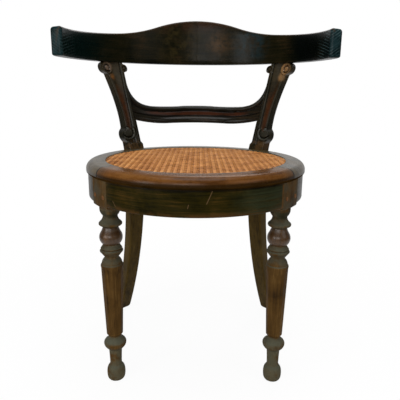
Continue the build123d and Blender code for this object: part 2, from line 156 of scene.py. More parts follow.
def add_object(name, verts, faces):
    """Object of a closed shape in millimetres, its faces turned outwards."""
    mesh = bpy.data.meshes.new(name)
    mesh.from_pydata([(x * MM, y * MM, z * MM) for x, y, z in verts], [], faces)
    bm = bmesh.new()
    bm.from_mesh(mesh)
    bmesh.ops.recalc_face_normals(bm, faces=bm.faces)
    bm.to_mesh(mesh)
    bm.free()
    return linked(name, mesh)


def cut_away(obj, boxes):
    """Takes boxes, given as closed shapes in millimetres, out of a piece."""
    cutter = add_object("notch", *joined(boxes))
    notch = obj.modifiers.new("notch", "BOOLEAN")
    notch.operation, notch.solver, notch.object = "DIFFERENCE", "EXACT", cutter
    bpy.context.view_layer.update()
    result = bpy.data.meshes.new_from_object(obj.evaluated_get(bpy.context.evaluated_depsgraph_get()))
    obj.modifiers.clear()
    obj.data = result
    bpy.data.objects.remove(cutter)


def add_piece(name, shape, material, node, grain=None, sharp=38, cut=None, values=None,
              marks=None, zone=None):
    """Piece in place of a node, with grain and marks on its vertices, and a second material between two heights."""
    obj = add_object(name, *shape)
    if cut:
        cut_away(obj, cut)
    mesh = obj.data
    if values is None:
        values = [c for v in mesh.vertices for c in grain(*(v.co / MM))]
    mesh.attributes.new("grain", "FLOAT_VECTOR", "POINT").data.foreach_set("vector", values)
    carved = mesh.attributes.new("carved", "FLOAT_VECTOR", "POINT")
    if marks:
        carved.data.foreach_set("vector", [c for mark in marks for c in mark])
    mesh.polygons.foreach_set("use_smooth", [True] * len(mesh.polygons))
    mesh.set_sharp_from_angle(angle=radians(sharp))
    mesh.materials.clear()
    mesh.materials.append(material)
    if zone:
        second, low, high = zone
        mesh.materials.append(second)
        mesh.polygons.foreach_set("material_index", [int(low < face.center.z / MM < high) for face in mesh.polygons])
    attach(obj, "root")
    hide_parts(node)


class Nodes:
    """Short names for building a node tree."""

    def __init__(self, tree):
        self.tree = tree

    def add(self, kind, *values, **settings):
        """New node with its settings, and values for its first inputs."""
        node = self.tree.nodes.new(kind)
        for key, value in settings.items():
            setattr(node, key, value)
        for socket, value in zip(node.inputs, values):
            self.put(socket, value)
        return node

    def put(self, socket, value):
        if isinstance(value, bpy.types.NodeSocket):
            self.tree.links.new(value, socket)
        else:
            socket.default_value = value

    def math(self, operation, *values):
        return self.add("ShaderNodeMath", *values, operation=operation).outputs[0]

    def minus(self, a, b):
        return self.math("SUBTRACT", a, b)

    def times(self, a, b):
        return self.math("MULTIPLY", a, b)

    def larger(self, a, b):
        return self.math("MAXIMUM", a, b)

    def weighted(self, *terms):
        """Sum of values, each times its weight."""
        total = self.times(*terms[0])
        for term in terms[1:]:
            total = self.math("ADD", total, self.times(*term))
        return total

    def span(self, value, low, high, *to):
        """Soft step from 0 to 1, or between two other values."""
        values = (value, low, high, *to)
        return self.add("ShaderNodeMapRange", *values, interpolation_type="SMOOTHSTEP").outputs[0]

    def vector(self, operation, *values):
        node = self.add("ShaderNodeVectorMath", *values, operation=operation)
        return node.outputs["Value" if operation in ("DISTANCE", "LENGTH") else "Vector"]

    def split(self, vector):
        return self.add("ShaderNodeSeparateXYZ", vector).outputs

    def mix(self, amount, a, b):
        node = self.add("ShaderNodeMix", data_type="RGBA")
        for i, v in ((0, amount), (6, a), (7, b)):
            self.put(node.inputs[i], (*v, 1) if isinstance(v, tuple) else v)
        return node.outputs[2]

    def noise(self, vector, scale, detail, rough=0.55, twist=0):
        node = self.add("ShaderNodeTexNoise")
        settings = {"Vector": vector, "Scale": scale, "Detail": detail, "Roughness": rough, "Distortion": twist}
        for key, v in settings.items():
            self.put(node.inputs[key], v)
        return node.outputs[0]

    def streaks(self, flow, along, across, detail, twist=0):
        """Noise drawn out along the grain."""
        return self.noise(self.vector("MULTIPLY", flow, (along, across, across)), 1, detail, 0.6, twist)

    def rays(self):
        """Rays from the camera, from mirroring surfaces and from matte ones."""
        path = self.add("ShaderNodeLightPath").outputs
        mirroring = self.larger(path["Is Glossy Ray"], path["Is Transmission Ray"])
        return path["Is Camera Ray"], mirroring, path["Is Diffuse Ray"]


class Finish(Nodes):
    """Node material of a piece of the chair."""

    def __init__(self, name):
        self.material = bpy.data.materials.new(name)
        self.material.use_nodes = True
        super().__init__(self.material.node_tree)
        self.grain = self.add("ShaderNodeAttribute", attribute_name="grain").outputs["Vector"]
        self.marks = self.split(self.add("ShaderNodeAttribute", attribute_name="carved").outputs["Vector"])
        self.space = self.add("ShaderNodeTexCoord").outputs["Object"]
        self.along, self.up = self.split(self.grain)[0], self.split(self.space)[2]
        self.off_middle = self.math("ABSOLUTE", self.along)

    def surface(self, colour, roughness, gloss, height, strength, distance):
        """Sets the shader up, with fine relief from a height, and gives the material."""
        shader = self.tree.nodes["Principled BSDF"].inputs
        self.put(shader["Base Color"], colour)
        self.put(shader["Roughness"], roughness)
        shader["Specular IOR Level"].default_value = gloss
        bump = self.add("ShaderNodeBump")
        bump.inputs["Strength"].default_value = strength
        bump.inputs["Distance"].default_value = distance
        self.put(bump.inputs["Height"], height)
        self.put(shader["Normal"], bump.outputs[0])
        return self.material


def wood(name, deep, mid, light, gloss=0.35, rough=(0.26, 0.48), streak=1, edge=0.5, tints=(), seed=0,
         line=(0.09, 0.07, 0.05), panel=(0.055, 0.018, 0.007), use_space=False, relief=0.25):
    """Stained and worn wood: streaks of grain, blotches of old polish, pale edges, painted shade in hollows, paler
    raised marks.
    """
    n = Finish(name)
    flow = n.vector("ADD", n.space if use_space else n.grain, (seed, seed * 0.37, seed * 0.61))
    hollow, raised, sunk = n.marks
    fine, pores = n.streaks(flow, 22, 620, 3, 0.2), n.streaks(flow, 90, 1800, 2)
    broad, bands = n.streaks(flow, 7, 45, 4, 0.4), n.streaks(flow, 8, 230, 3, 0.3)
    blotch = n.noise(n.space, 17, 5, 0.62, 0.6)
    tone = n.weighted((broad, 0.42), (blotch, 0.58), (n.minus(fine, 0.5), 0.42 * streak),
                      (n.minus(bands, 0.5), 0.5 * streak))
    colour = n.mix(n.span(tone, 0.3, 0.52), deep, mid)
    colour = n.mix(n.span(tone, 0.5, 0.74), colour, light)
    colour = n.mix(n.times(sunk, n.span(tone, 0.34, 0.56, 0.15, 0.85)), colour, panel)
    for mask, shade in tints:
        colour = n.mix(mask(n), colour, shade)
    colour = n.mix(n.span(pores, 0.3, 0.42, 0.55, 0), colour, tuple(c * 0.35 for c in deep))
    # raised marks in the line colour: painted highlights on the carving, painted light on upward faces of the
    # turnings
    colour = n.mix(n.times(raised, n.span(blotch, 0.3, 0.6, 0.35, 0.95)), colour, line)
    point = n.add("ShaderNodeNewGeometry").outputs["Pointiness"]
    worn = n.times(n.span(point, 0.53, 0.64), n.span(blotch, 0.36, 0.62, 0.25, 1))
    colour = n.mix(n.times(worn, edge), colour, tuple(min(1, c * 2.2 + 0.01) for c in light))
    # painted shade: hollow marks darken the grooves and the undersides of rounds
    colour = n.mix(n.times(hollow, 0.88), colour, tuple(c * 0.25 for c in deep))
    matte = n.weighted((n.noise(n.space, 60, 6, 0.7), 0.6), (blotch, 0.4))
    height = n.weighted((fine, 0.6), (pores, 0.4), (n.noise(n.space, 130, 3), 0.5))
    return n.surface(colour, n.span(matte, 0.3, 0.7, *rough), gloss, height, relief, distance=0.0005)


def cane_material():
    """Split cane: each strand its own tan, with fine fibres, and painted shade where it bends under."""
    n = Finish("cane_strands")
    strand, lay = n.split(n.grain)[2], n.marks[0]
    fibre = n.noise(n.vector("MULTIPLY", n.grain, (14, 2600, 1)), 1, 3, 0.6)
    each = n.add("ShaderNodeTexWhiteNoise", noise_dimensions="1D")
    n.put(each.inputs["W"], strand)
    age = n.span(n.noise(n.space, 26, 4, 0.65), 0.25, 0.75)
    tone = n.weighted((fibre, 0.55), (each.outputs["Value"], 0.26), (age, 0.3), (n.minus(lay, 0.55), 0.36))
    colour = n.mix(n.span(tone, 0.28, 0.6), (0.21, 0.068, 0.015), (0.47, 0.198, 0.056))
    colour = n.mix(n.span(tone, 0.58, 0.92), colour, (0.72, 0.375, 0.13))
    # painted shade: strands darken where they dip below the crossing ones
    colour = n.mix(n.span(n.up, 0.4592, 0.4606, 0.85, 0), colour, (0.085, 0.026, 0.007))
    rough = n.span(fibre, 0.3, 0.7, 0.38, 0.6)
    return n.surface(colour, rough, gloss=0.1, height=fibre, strength=0.25, distance=0.0003)


# Masks for the tints of a wood, each told as a function of its finish. Lengths are in metres.
def above(low, high):
    """Grows with height."""
    return lambda n: n.span(n.up, low, high)


def below(high, low):
    """Grows downwards."""
    return lambda n: n.span(n.up, low, high, 1, 0)


def blotches(scale, low, high, most):
    """Soft blotches of a noise."""
    return lambda n: n.span(n.noise(n.space, scale, 4, 0.6), low, high, 0, most)


def overlap(first, second):
    """Where both masks are."""
    return lambda n: n.times(first(n), second(n))


def patchy(mask, *settings):
    """A mask broken up into blotches."""
    return overlap(mask, blotches(*settings))


def grain_streaks(most):
    """Long uneven streaks along the grain."""
    return lambda n: n.span(n.streaks(n.grain, 9, 330, 4, 0.3), 0.34, 0.62, 0.1, most)


def spot(centre, inner, outer, ragged):
    """Round a point of the chair, with a ragged edge."""
    def build(n):
        wobble = n.minus(n.noise(n.space, 90, 3), 0.5)
        reach = n.weighted((n.vector("DISTANCE", n.space, centre), 1), (wobble, ragged))
        return n.span(reach, inner, outer, 1, 0)
    return build


def scratch(start, end, width):
    """A straight scratch, in the grain's x and z."""
    def build(n):
        x, _, z = n.split(n.grain)
        length = dist(start, end)
        ux, uz = (end[0] - start[0]) / length, (end[1] - start[1]) / length
        dx, dz = n.minus(x, start[0]), n.minus(z, start[1])
        along, across = n.weighted((dx, ux), (dz, uz)), n.weighted((dz, ux), (dx, -uz))
        near = n.span(n.math("ABSOLUTE", across), width * 0.4, width, 1, 0)
        return n.times(near, n.math("LESS_THAN", n.math("ABSOLUTE", n.minus(along, length / 2)), length / 2))
    return build


def seam(limit):
    """A piece's ends, beyond a distance along its grain."""
    return lambda n: n.math("GREATER_THAN", n.off_middle, limit)


def near_ends(first, full, most):
    """Grows along the grain towards both ends."""
    return lambda n: n.span(n.off_middle, first, full, 0, most)


def towards_end(first, full):
    """Grows along the grain towards one end."""
    return lambda n: n.span(n.along, first, full)


def year_rings(first, full, most):
    """Fine growth rings on the crest's ends."""
    def build(n):
        x, y, z = n.split(n.grain)
        turn = n.weighted((z, 1000), (n.off_middle, 266), (y, -730), (n.noise(n.space, 60, 2), 2.2))
        lines = n.times(n.span(n.math("SINE", turn), 0.4, 0.95), n.span(n.off_middle, first, full))
        uneven = n.span(n.noise(n.space, 38, 3), 0.34, 0.6)
        not_outside = n.span(y, 0.0955, 0.098, 1, 0)
        return n.times(n.times(lines, uneven), n.times(not_outside, n.span(x, -0.2, 0.2, 0.45 * most, most)))
    return build


# Front legs
COLUMN_LOW, COLUMN_ARCH = 108.5, 245
FACET = 45


def column_r(z, length):
    """Radius of the tapering column, which grows to its full radius over a length."""
    return 17.1 + (z - COLUMN_LOW) * 5.1 / length


def block_ring(angles, inset, height):
    """Ring round the block, whose outer and inner faces follow the seat's round."""
    half, out, back = BLOCK_HALF - inset, APRON_R - inset, BLOCK_BACK + inset
    points = []
    for t in angles:
        ce, su = cos(t), sin(t)
        b = FRONT_R * ce
        reach = [-b + sqrt(b * b + out * out - FRONT_R * FRONT_R), half / max(abs(su), 1e-6)]
        inner = b * b + back * back - FRONT_R * FRONT_R
        if ce < 0 and inner > 0:
            reach.append(-b - sqrt(inner))
        points.append((min(reach) * ce, min(reach) * su))
    for side in (1, -1):
        for r in (out, back):
            corner = (sqrt(r**2 - half**2) - FRONT_R, side * half)
            near = min(range(len(points)), key=lambda i: dist(points[i], corner))
            points[near] = corner
    return [at(FRONT_ANGLE, FRONT_R + e, u, height) for e, u in points]


def turned_profile():
    """Radii and heights of the turning, from the floor to the block."""
    foot = [(12, 0), (14, 0.5), (15.8, 1.7), (17.3, 3.6), (18.3, 6.2), (18.9, 9.4), (19.2, 13), (19.3, 17),
            (19.1, 21), (18.6, 24.8), (17.7, 28), (16.4, 30.6), (14.9, 32.6), (13.5, 34.2), (12.6, 36)]
    ankle = [(12.3, 38.5), (12.4, 46), (12.8, 56), (13.2, 64), (13.5, 68.4), (14.2, 71.2), (15.6, 73.2)]
    ring = [(17.6, 75.2), (19.8, 77.6), (21.6, 80.2), (22.7, 82.8), (23.2, 85.4), (23.2, 87.6), (22.6, 89.9),
            (21.2, 92.2), (19, 94.3), (16.6, 96.2), (14.8, 98.2), (13.5, 100.4), (13, 102.4), (13.3, 104.2),
            (15, 106.2), (16.7, 108)]
    heights = [109.5, 113, 120, 132, 146, 162, 178, 194, 210, 224, 235] + [241 + k * 0.8 for k in range(21)]
    column = [(column_r(z, 148.5), z) for z in heights]
    bead = arc((22.2, 257.6), (22.9, 260.6), (21.7, 263.6), 6)[1:] + [(21.1, 264), (20.9, 264.6)]
    bead += arc((20.7, 265.2), (18.7, 271.6), (14.7, 276.6), 8)[1:] + [(14.4, 278.2), (14.6, 279.6)]
    disc = [(17, 282.6), (19.6, 286.2), (21.6, 288.6), (22.7, 289.8), (23.2, 290.9), (23.3, 291.8), (23.2, 292.6),
            (22.6, 293.2), (20.6, 294.2), (20.2, 295), (20.6, 295.8), (21.4, 296.4), (21.5, 297.2), (21.1, 298),
            (20.6, 298.6), (19.6, 300), (18, 302.6), (17, 304.6), (16.7, 305.8)]
    vase = arc((17.2, 306.4), (23.2, 318.9), (20.2, 330.2), 14)[1:]
    vase += [(18.4, 333.6), (16.9, 337), (15.9, 339.6), (15.5, 341), (15.9, 341.8), (18.6, 343.6), (21.2, 344.9)]
    collar = arc((22, 345.5), (23.2, 348.2), (22.2, 351), 6) + arc((21.6, 351.8), (17.2, 356.4), (14.5, 364.4), 10)
    collar += arc((14.6, 365.2), (18.4, 370.3), (20.4, 376.6), 8)[1:] + [(20.5, 379), (20.5, 382.9)]
    return foot + ankle + ring + column + bead + disc + vase + collar


def front_leg():
    """Turned leg with eight-sided column and block; marks: painted shade under its rounds, painted light on their
    upper faces.
    """
    steps = [0, 1.6, 3.6, 8, 13, 18, 22.5, 27, 32, 37, 41.4, 43.4]
    half_facet = radians(FACET / 2)
    angles = [radians(FACET / 2 + FACET * k + step) for k in range(360 // FACET) for step in steps]
    profile = turned_profile()
    rings, marks = [], []
    for i, (r, z) in enumerate(profile):
        ring = []
        (r0, z0), (r1, z1) = profile[max(0, i - 1)], profile[min(len(profile) - 1, i + 1)]
        facing_up = (r0 - r1) / hypot(r1 - r0, z1 - z0)
        on_column_or_vase = 106 < z < 256 or 305 < z < 337
        # painted shade on faces turned down, painted light on faces turned up
        shaded = 0 if on_column_or_vase else 0.6 * smooth(-facing_up, 0.35, 0.9)
        painted_top_light = smooth(facing_up, 0.1, 0.7) * (0.5 if 264 < z < 280 else 0.9)
        marks += [(shaded, 0 if on_column_or_vase or 337 < z < 342 else painted_top_light, 0)] * len(angles)
        for t in angles:
            reach = r
            if 109 < z < 257.7:
                circle = column_r(min(z, COLUMN_ARCH), COLUMN_ARCH - COLUMN_LOW) + max(0, z - COLUMN_ARCH) * 1.83 / 12
                off = (t - half_facet) % (2 * half_facet) - half_facet
                reach = min(r, circle * cos(half_facet) / cos(off), circle * 0.985)
            ring.append(at(FRONT_ANGLE, FRONT_R + reach * cos(t), reach * sin(t), z))
        rings.append(ring)
    for t in map(radians, range(0, 91, 15)):
        rings.append(block_ring(angles, BLOCK_ROUND * (1 - sin(t)), BLOCK_LOW + BLOCK_ROUND * (1 - cos(t))))
    rings += [block_ring(angles, 0, z) for z in (395, 405, 420, 432, RING_LOW - 0.6)]
    rings.append(block_ring(angles, 0.5, RING_LOW))
    marks += [PLAIN] * (len(rings) * len(angles) - len(marks))
    return loft(rings), marks


# Rear legs. The outer edge of the post by height, and its discs: u and height of the middle, radius
POST_EDGE = [(482, 21.2), (502, 20), (520, 18.9), (540, 18.7), (560, 20.2), (580, 22.9), (600, 26.7), (620, 31.4),
             (640, 36.4), (660, 41), (680, 45)]
DISCS = {"low": (9, 495, 20), "outer": (37, 660, 14), "inner": (-14.4, 660, 9.3)}
# Low volute: middle and half size of its scroll, middle and radius of its eye
SCROLL_U, SCROLL_Z, SCROLL_WIDE, SCROLL_HIGH = 15.5, 504.5, 14.5, 12.4
EYE_U, EYE_Z, EYE_R = 15, 512, 3.8


def post_front(z):
    """Radius of the post's leaning front plane."""
    return APRON_IN + POST_LEAN * (z - SEAT_Z)


def curve_at(knots, z):
    """Value at a height on a smooth curve through knots of (height, value), evenly spaced."""
    k = max(1, min(len(knots) - 3, sum(1 for h, _ in knots if h <= z) - 1))
    (_, a), (z0, b), (z1, c), (_, d) = knots[k - 1:k + 3]
    t = (z - z0) / (z1 - z0)
    return b + 0.5 * t * (c - a + t * (2 * a - 5 * b + 4 * c - d + t * (3 * (b - c) + d - a)))


def rounded_union(a, b, k):
    """Union of two distance fields with a soft inner corner."""
    h = max(0, min(1, 0.5 + 0.5 * (b - a) / k))
    return b + (a - b) * h - k * h * (1 - h)


def leg_sides(z):
    """Sideways reach of the rear leg at a height, before its discs."""
    if z <= APRON_LOW:
        half = REAR_FOOT_HALF + (REAR_HALF - REAR_FOOT_HALF) * z / APRON_LOW
        return -half, half
    if z < POST_FOOT:
        return -REAR_HALF, REAR_HALF
    sweep_r, bulge, edge_end = 46.01, 5.5, 650
    low = -POST_INNER - sweep_r + sqrt(max(0, sweep_r**2 - max(0, POST_WAIST - z) ** 2))
    low = min(low, -POST_INNER - bulge * smooth(z, 560, 525))
    if z <= POST_WAIST:
        return low, REAR_HALF - 2 * (z - POST_FOOT) / (POST_WAIST - POST_FOOT)
    return low, curve_at(POST_EDGE, min(z, edge_end))


def outline(z, side):
    """Reach of the finished outline on one side, its discs run softly into the post."""
    low, high = leg_sides(z)
    edge = high if side > 0 else low
    if z < 470:
        return edge
    soft, near = 3, 0.02
    u = side * 60
    for _ in range(400):
        field = side * u - side * edge
        for cu, cz, r in DISCS.values():
            field = rounded_union(field, hypot(u - cu, z - cz) - r, soft)
        if field < near:
            break
        u -= side * max(near, field * 0.6)
    return u


def post_relief(u, z):
    """Depth of the carving below the post's front plane; marks: painted shade in hollows, painted highlight on raised
    lines, panel.
    """
    across = (u + 1) / max(6, leg_sides(z)[1] + 1)
    depth, line, panel = 3.4, 0, 0
    if 0 < across < 1:  # sunk panel that fills the outer part
        depth = 2.2 + 2.4 * sin(pi * min(1, across * 1.15)) * (1 - 0.5 * across)
        panel = 0.85 * sin(pi * across) ** 0.9 * (0.25 + 0.75 * hump(z - 556, 75))
        # painted highlight near the panel's outer edge, painted sheen high on its face
        line = max(0.4 * smooth(across, 0.74, 0.9), 0.4 * hump(across - 0.32, 0.3) * smooth(z, 580, 625))
    if u < -3.6:  # round bead along the inner edge
        depth = min(depth, 4.2 - 3.4 * hump(u + 8.7, 4.6))
    thread = hump(u + 4.4, 2.4)
    if thread > 0:
        depth = min(depth, 4.2 - 3.2 * thread)
        # painted highlight on the raised thread, brighter towards the top
        line = max(line, 0.55 * thread + 0.35 * thread * smooth(z, 610, 650))
    groove = hump(u + 1.4, 2)
    # painted shade in the grooves
    hollow = max(groove, 0.6 * hump(u + 6.4, 1.2))
    depth += 1.2 * groove
    up = (z - SCROLL_Z) / SCROLL_HIGH
    reach = hypot((u - SCROLL_U) / SCROLL_WIDE, up)
    if reach < 1.7:  # low volute: a scroll that is open at its top, with an eye
        closed = 1 - smooth(up / max(reach, 0.3), 0.25, 0.8)
        rim, groove = closed * hump(reach - 1.36, 0.27), closed * hump(reach - 1.04, 0.15)
        boss = sqrt(max(0, 1 - reach**2))
        scroll = 2.8 - 2 * boss if reach < 1 else 4.4 - 3.6 * rim
        depth += (scroll - depth) * closed + 1.8 * groove
        panel *= 1 - closed
        # painted highlights on the scroll's rim and boss, painted shade in its groove
        line = max(line * (1 - closed), 0.8 * rim, 0.35 * boss * closed)
        hollow = max(hollow * (1 - closed), groove)
        eye = hypot(u - EYE_U, z - EYE_Z)
        if eye < EYE_R:
            # painted highlight on the eye
            depth, line, hollow, panel = 1.6 - 1.6 * sqrt(1 - (eye / EYE_R) ** 2), 1, 0, 0
        elif eye < 6.4 and z > EYE_Z - 2:
            groove = hump(eye - 5, 1.4)
            # painted shade in the groove round the eye
            depth, hollow = depth + 1.8 * groove, max(hollow, groove)
    for key, wind, half, eye in (("outer", 9.2, 2.4, 3.9), ("inner", 6.2, 1.7, 2.6)):  # head volutes: winding grooves
        cu, cz, r = DISCS[key]
        reach, turn = hypot(u - cu, z - cz), atan2(z - cz, u - cu)
        if reach < r + 1:
            swing = (turn + 0.75 * pi if key == "outer" else 0.25 * pi - turn) % tau
            groove = hump(reach - wind * (1 - 0.42 * swing / tau), half)
            # painted shade in the winding groove
            depth, hollow, line, panel = 0.5 + 3.4 * groove, groove, 0, 0
            if reach < eye:
                depth, hollow = 0.9 - 1.2 * sqrt(1 - (reach / eye) ** 2), 0
    fade = smooth(z, POST_FOOT, POST_FOOT + 5)
    return depth * fade, (hollow * fade, line * fade, panel * fade)


def rear_leg():
    """Sabre leg and carved post in one, from the floor to the crest, and its marks."""
    sole_r, heel_r, across_count = 1.5, 7, 64
    sides = (0.15, 0.4, 0.65, 0.85)
    heights = [0, 0.5, 1.5, 2.7, 4, 5.5, 7] + [13.5 + 9.5 * k for k in range(40)] + [392, 410, 430, 446, 456]
    heights += [461.5 + k for k in range(213) if 461.5 + k < CREST_LOW - 0.4] + [CREST_LOW]
    front_sweep, back_sweep = 74, 69
    rings, marks = [], []
    for z in heights:
        drop = max(0, APRON_LOW - z)
        front, back = APRON_IN + sag(drop, APRON_LOW, front_sweep), REAR_BACK + sag(drop, APRON_LOW, back_sweep)
        if z > SEAT_Z:
            front = post_front(z)
            back = REAR_BACK + (POST_BACK - REAR_BACK) * (z - SEAT_Z) / (CREST_LOW - SEAT_Z)
        trim, worn = corner_cut(z, sole_r), corner_cut(z, heel_r)
        low, high = outline(z, -1) + trim + worn, outline(z, 1) - trim
        front, back = front + trim, back - trim - worn
        cut = 2.5 if z > 380 else 4
        section, marked = [], []
        for k in range(across_count + 1):
            u = low + (high - low) * k / across_count
            depth, mark = post_relief(u, z) if z > POST_FOOT else (0, PLAIN)
            section.append((front + max(depth, corner_cut(u - low, cut), corner_cut(high - u, cut)), u))
            marked.append(mark)
        start, end = section[-1][0] + 1, section[0][0] + 1
        section += [(start + (back - cut - start) * s, high) for s in sides]
        section += rounded(back - cut, high - cut, cut, (90, 60, 30, 0)) + [(back, (low + high) / 2)]
        section += rounded(back - cut, low + cut, cut, (0, -30, -60, -90))
        section += [(end + (back - cut - end) * s, low) for s in sides[::-1]]
        rings.append([at(REAR_ANGLE, r, u, z) for r, u in section])
        marks += marked + [PLAIN] * (len(section) - len(marked))
    return loft(rings), marks


# Cross rail. Its ends sweep up against the posts in a curve that starts at HORN_U
HORN_U, HORN_WIDE, HORN_HIGH, HORN_POWER = -87.5, 74, 72, 2.6


def rail_top(u, x):
    """Height of the upper edge: slight waves, and the sweep at the end."""
    t = min(1, max(0, (u - HORN_U) / HORN_WIDE))
    wave = 0.8 * hump(x, 50) - 1.4 * hump(abs(x) - 82, 45)
    return RAIL_TOP + wave + HORN_HIGH * (1 - (1 - t**HORN_POWER) ** (1 / HORN_POWER))


def rail_bottom(x):
    """Height of the lower edge: a slight wave at the middle and a rise at the end."""
    reach, end, rise, wave = 80, 201.07, 29, 1.4
    if abs(x) <= reach:
        return RAIL_LOW + wave - sag(x, reach, wave)
    return RAIL_LOW + sag(abs(x) - reach, end - reach, rise)


def rail_relief(u, z, top, bottom):
    """Depth of the moulding below the rail's front plane; marks as the post's: painted shade in grooves, painted
    highlights on beads.
    """
    over, under = top - z, z - bottom
    if u > HORN_U:
        wide, high = (u - HORN_U) / HORN_WIDE, max(0, RAIL_TOP + HORN_HIGH - z) / HORN_HIGH
        over = ((wide**HORN_POWER + high**HORN_POWER) ** (1 / HORN_POWER) - 1) * HORN_HIGH
    depth, line = 4, 0
    panel = smooth(over, 13, 17) * smooth(under, 18.5, 22.5) * (1 - smooth(u, -75, -40))
    if under < 18:  # lower bead
        depth, panel = 4.4 - 4.4 * hump(under - 9.2, 9), 0
        # painted light along the lower bead's bottom edge
        line = 0.5 * hump(under - 1.6, 1.8)
    # painted shade in the grooves
    hollow = max(hump(under - 18.4, 1.8), hump(over - 12.6, 2))
    depth += 1.8 * hollow
    if over <= 11.4 and under > 20:  # upper bead
        depth, panel, hollow = 4.4 - 4.2 * hump(over - 5.4, 6), 0, 0
        # painted highlight along the upper bead
        line = 0.35 * hump(over - 4, 2.6)
    return depth, (hollow, line, panel)


def by_angle(turn):
    """Station of the rail at an angle: its offset from the post and its angle, by radius."""
    return lambda r: (r * sin(radians(turn - REAR_ANGLE)), turn)


def by_offset(u):
    """The same at a sideways offset."""
    return lambda r: (u, REAR_ANGLE + degrees(asin(u / r)))


def rail():
    """The moulded rail from post to post, and its marks."""
    front_rows, back_rows, arc_stops = 64, 14, 23
    front_set, front_guess = 2, 5
    arc_end = REAR_ANGLE - degrees(asin(-HORN_U / 245))
    offsets = [HORN_U + HORN_WIDE * sin(radians(2.25 * k)) for k in range(41)] + [-13.2, -POST_INNER]
    stations = [by_angle(arc_end * k / arc_stops) for k in range(arc_stops)] + list(map(by_offset, offsets))
    half, half_marks = [], []
    for station in stations:
        ring, marked = [], []
        for front, rows in ((True, front_rows), (False, back_rows)):
            for i in range(rows + 1):
                s = i / rows if front else 1 - i / rows
                z = RAIL_LOW + 45 * s
                for _ in range(4):  # the height and the place at an angle depend on one another
                    r = post_front(z) + (front_guess if front else RAIL_BACK)
                    u, turn = station(r)
                    x = r * sin(radians(turn))
                    top, bottom = rail_top(u, x), rail_bottom(x)
                    z = bottom + (top - bottom) * s
                edge, mark = min(top - z, z - bottom), PLAIN
                if front:
                    depth, mark = rail_relief(u, z, top, bottom)
                    r = post_front(z) + front_set + depth + corner_cut(edge, 1.6)
                else:
                    r = post_front(z) + RAIL_BACK - corner_cut(edge, 2)
                ring.append(at(station(r)[1], r, 0, z))
                marked.append(mark)
        half.append(ring)
        half_marks.append(marked)
    other = [[(-x, y, z) for x, y, z in ring] for ring in half[1:]]
    marks = [m for marked in half_marks[:0:-1] + half_marks for m in marked]
    return loft(other[::-1] + half), marks


# Seat ring, aprons and crest
def ring_section():
    """Section of the seat ring: rounded outside, with a rebate for the cane."""
    low_r, high_r, rim_r = 5, 16, 1.2
    section = [(BORE_R, RING_LOW + 1), (BORE_R + 1, RING_LOW), (204, RING_LOW), (220, RING_LOW)]
    section += rounded(SEAT_R - low_r, RING_LOW + low_r, low_r, range(-90, 1, 18))
    section += rounded(SEAT_R - high_r, SEAT_Z - high_r, high_r, range(9, 91, 9)) + [(212, SEAT_Z), (204, SEAT_Z)]
    section += rounded(CANE_R + rim_r, SEAT_Z - rim_r, rim_r, range(90, 181, 30))
    return section + [(CANE_R, REBATE_Z), (BORE_R + 0.8, REBATE_Z), (BORE_R, REBATE_Z - 0.8)]


def swept(section, first, last):
    """A section carried round the seat, its end edges eased by a small round."""
    step, ends = 1.5, 0.35
    middle_r = sum(r for r, _ in section) / len(section)
    middle_z = sum(z for _, z in section) / len(section)
    count = max(4, int(abs(last - first) / step))
    ease = degrees(ends / middle_r)
    stops = [(first, ends), (first + ease, 0)]
    stops += [(first + ease + (last - first - 2 * ease) * k / count, 0) for k in range(1, count)]
    stops += [(last - ease, 0), (last, ends)]
    rings = []
    for angle, inset in stops:
        ring = []
        for r, z in section:
            f = 1 - inset / hypot(r - middle_r, z - middle_z)
            ring.append(at(angle, middle_r + (r - middle_r) * f, 0, middle_z + (z - middle_z) * f))
        rings.append(ring)
    return loft(rings)


def notch_box(angle):
    """Box round a rear leg where it passes the seat ring."""
    inner, outer, half = 209.3, 250, 22.2
    square = ((inner, -half), (inner, half), (outer, half), (outer, -half))
    return loft([[at(angle, r, u, z) for r, u in square] for z in (430, 470)])


def apron_shape(ends):
    """Curved board between two legs, its ends on the legs' sides."""
    low, count, end_ease = APRON_LOW + APRON_ROUND, 44, 0.4
    section = rounded(APRON_IN + APRON_ROUND, low, APRON_ROUND, range(180, 271, 30))
    section += rounded(APRON_R - APRON_ROUND, low, APRON_ROUND, range(270, 361, 30))
    section += [(APRON_R, 400), (APRON_R, 412), (APRON_R, 424), (APRON_R, 434), (APRON_R - 0.4, RING_LOW)]
    section += [(APRON_IN + 0.4, RING_LOW), (APRON_IN, 434), (APRON_IN, 412)]
    (first, first_u), (last, last_u) = ends
    rings = []
    for k in range(count + 1):
        ring = []
        for r, z in section:
            eased = k in (0, count) and (r in (APRON_R, APRON_IN) or z < low + 0.1)
            if eased:
                r += -end_ease if r > 220 else end_ease
            a0 = first + degrees(asin(first_u / r))
            a1 = last + degrees(asin(last_u / r))
            ring.append(at(a0 + (a1 - a0) * k / count, r, 0, z))
        rings.append(ring)
    return loft(rings)


def crest_top(r, angle):
    """Height of the crest's upper edge: a bow, a hollow and a straight end."""
    half, drop, hollow_r, hollow_turn = 105, 19, 413, radians(13.6)
    x = r * sin(radians(min(90, angle)))
    if x <= half:
        return CREST_MID_TOP - sag(x, half, drop)
    turn = 2 * atan2(drop, half)
    cx, cz = half + hollow_r * sin(turn), CREST_MID_TOP - drop + hollow_r * cos(turn)
    end_turn = turn - hollow_turn
    end_x = cx - hollow_r * sin(end_turn)
    if x <= end_x:
        return cz - sqrt(hollow_r**2 - (x - cx) ** 2)
    return cz - hollow_r * cos(end_turn) - (x - end_x) * tan(end_turn)


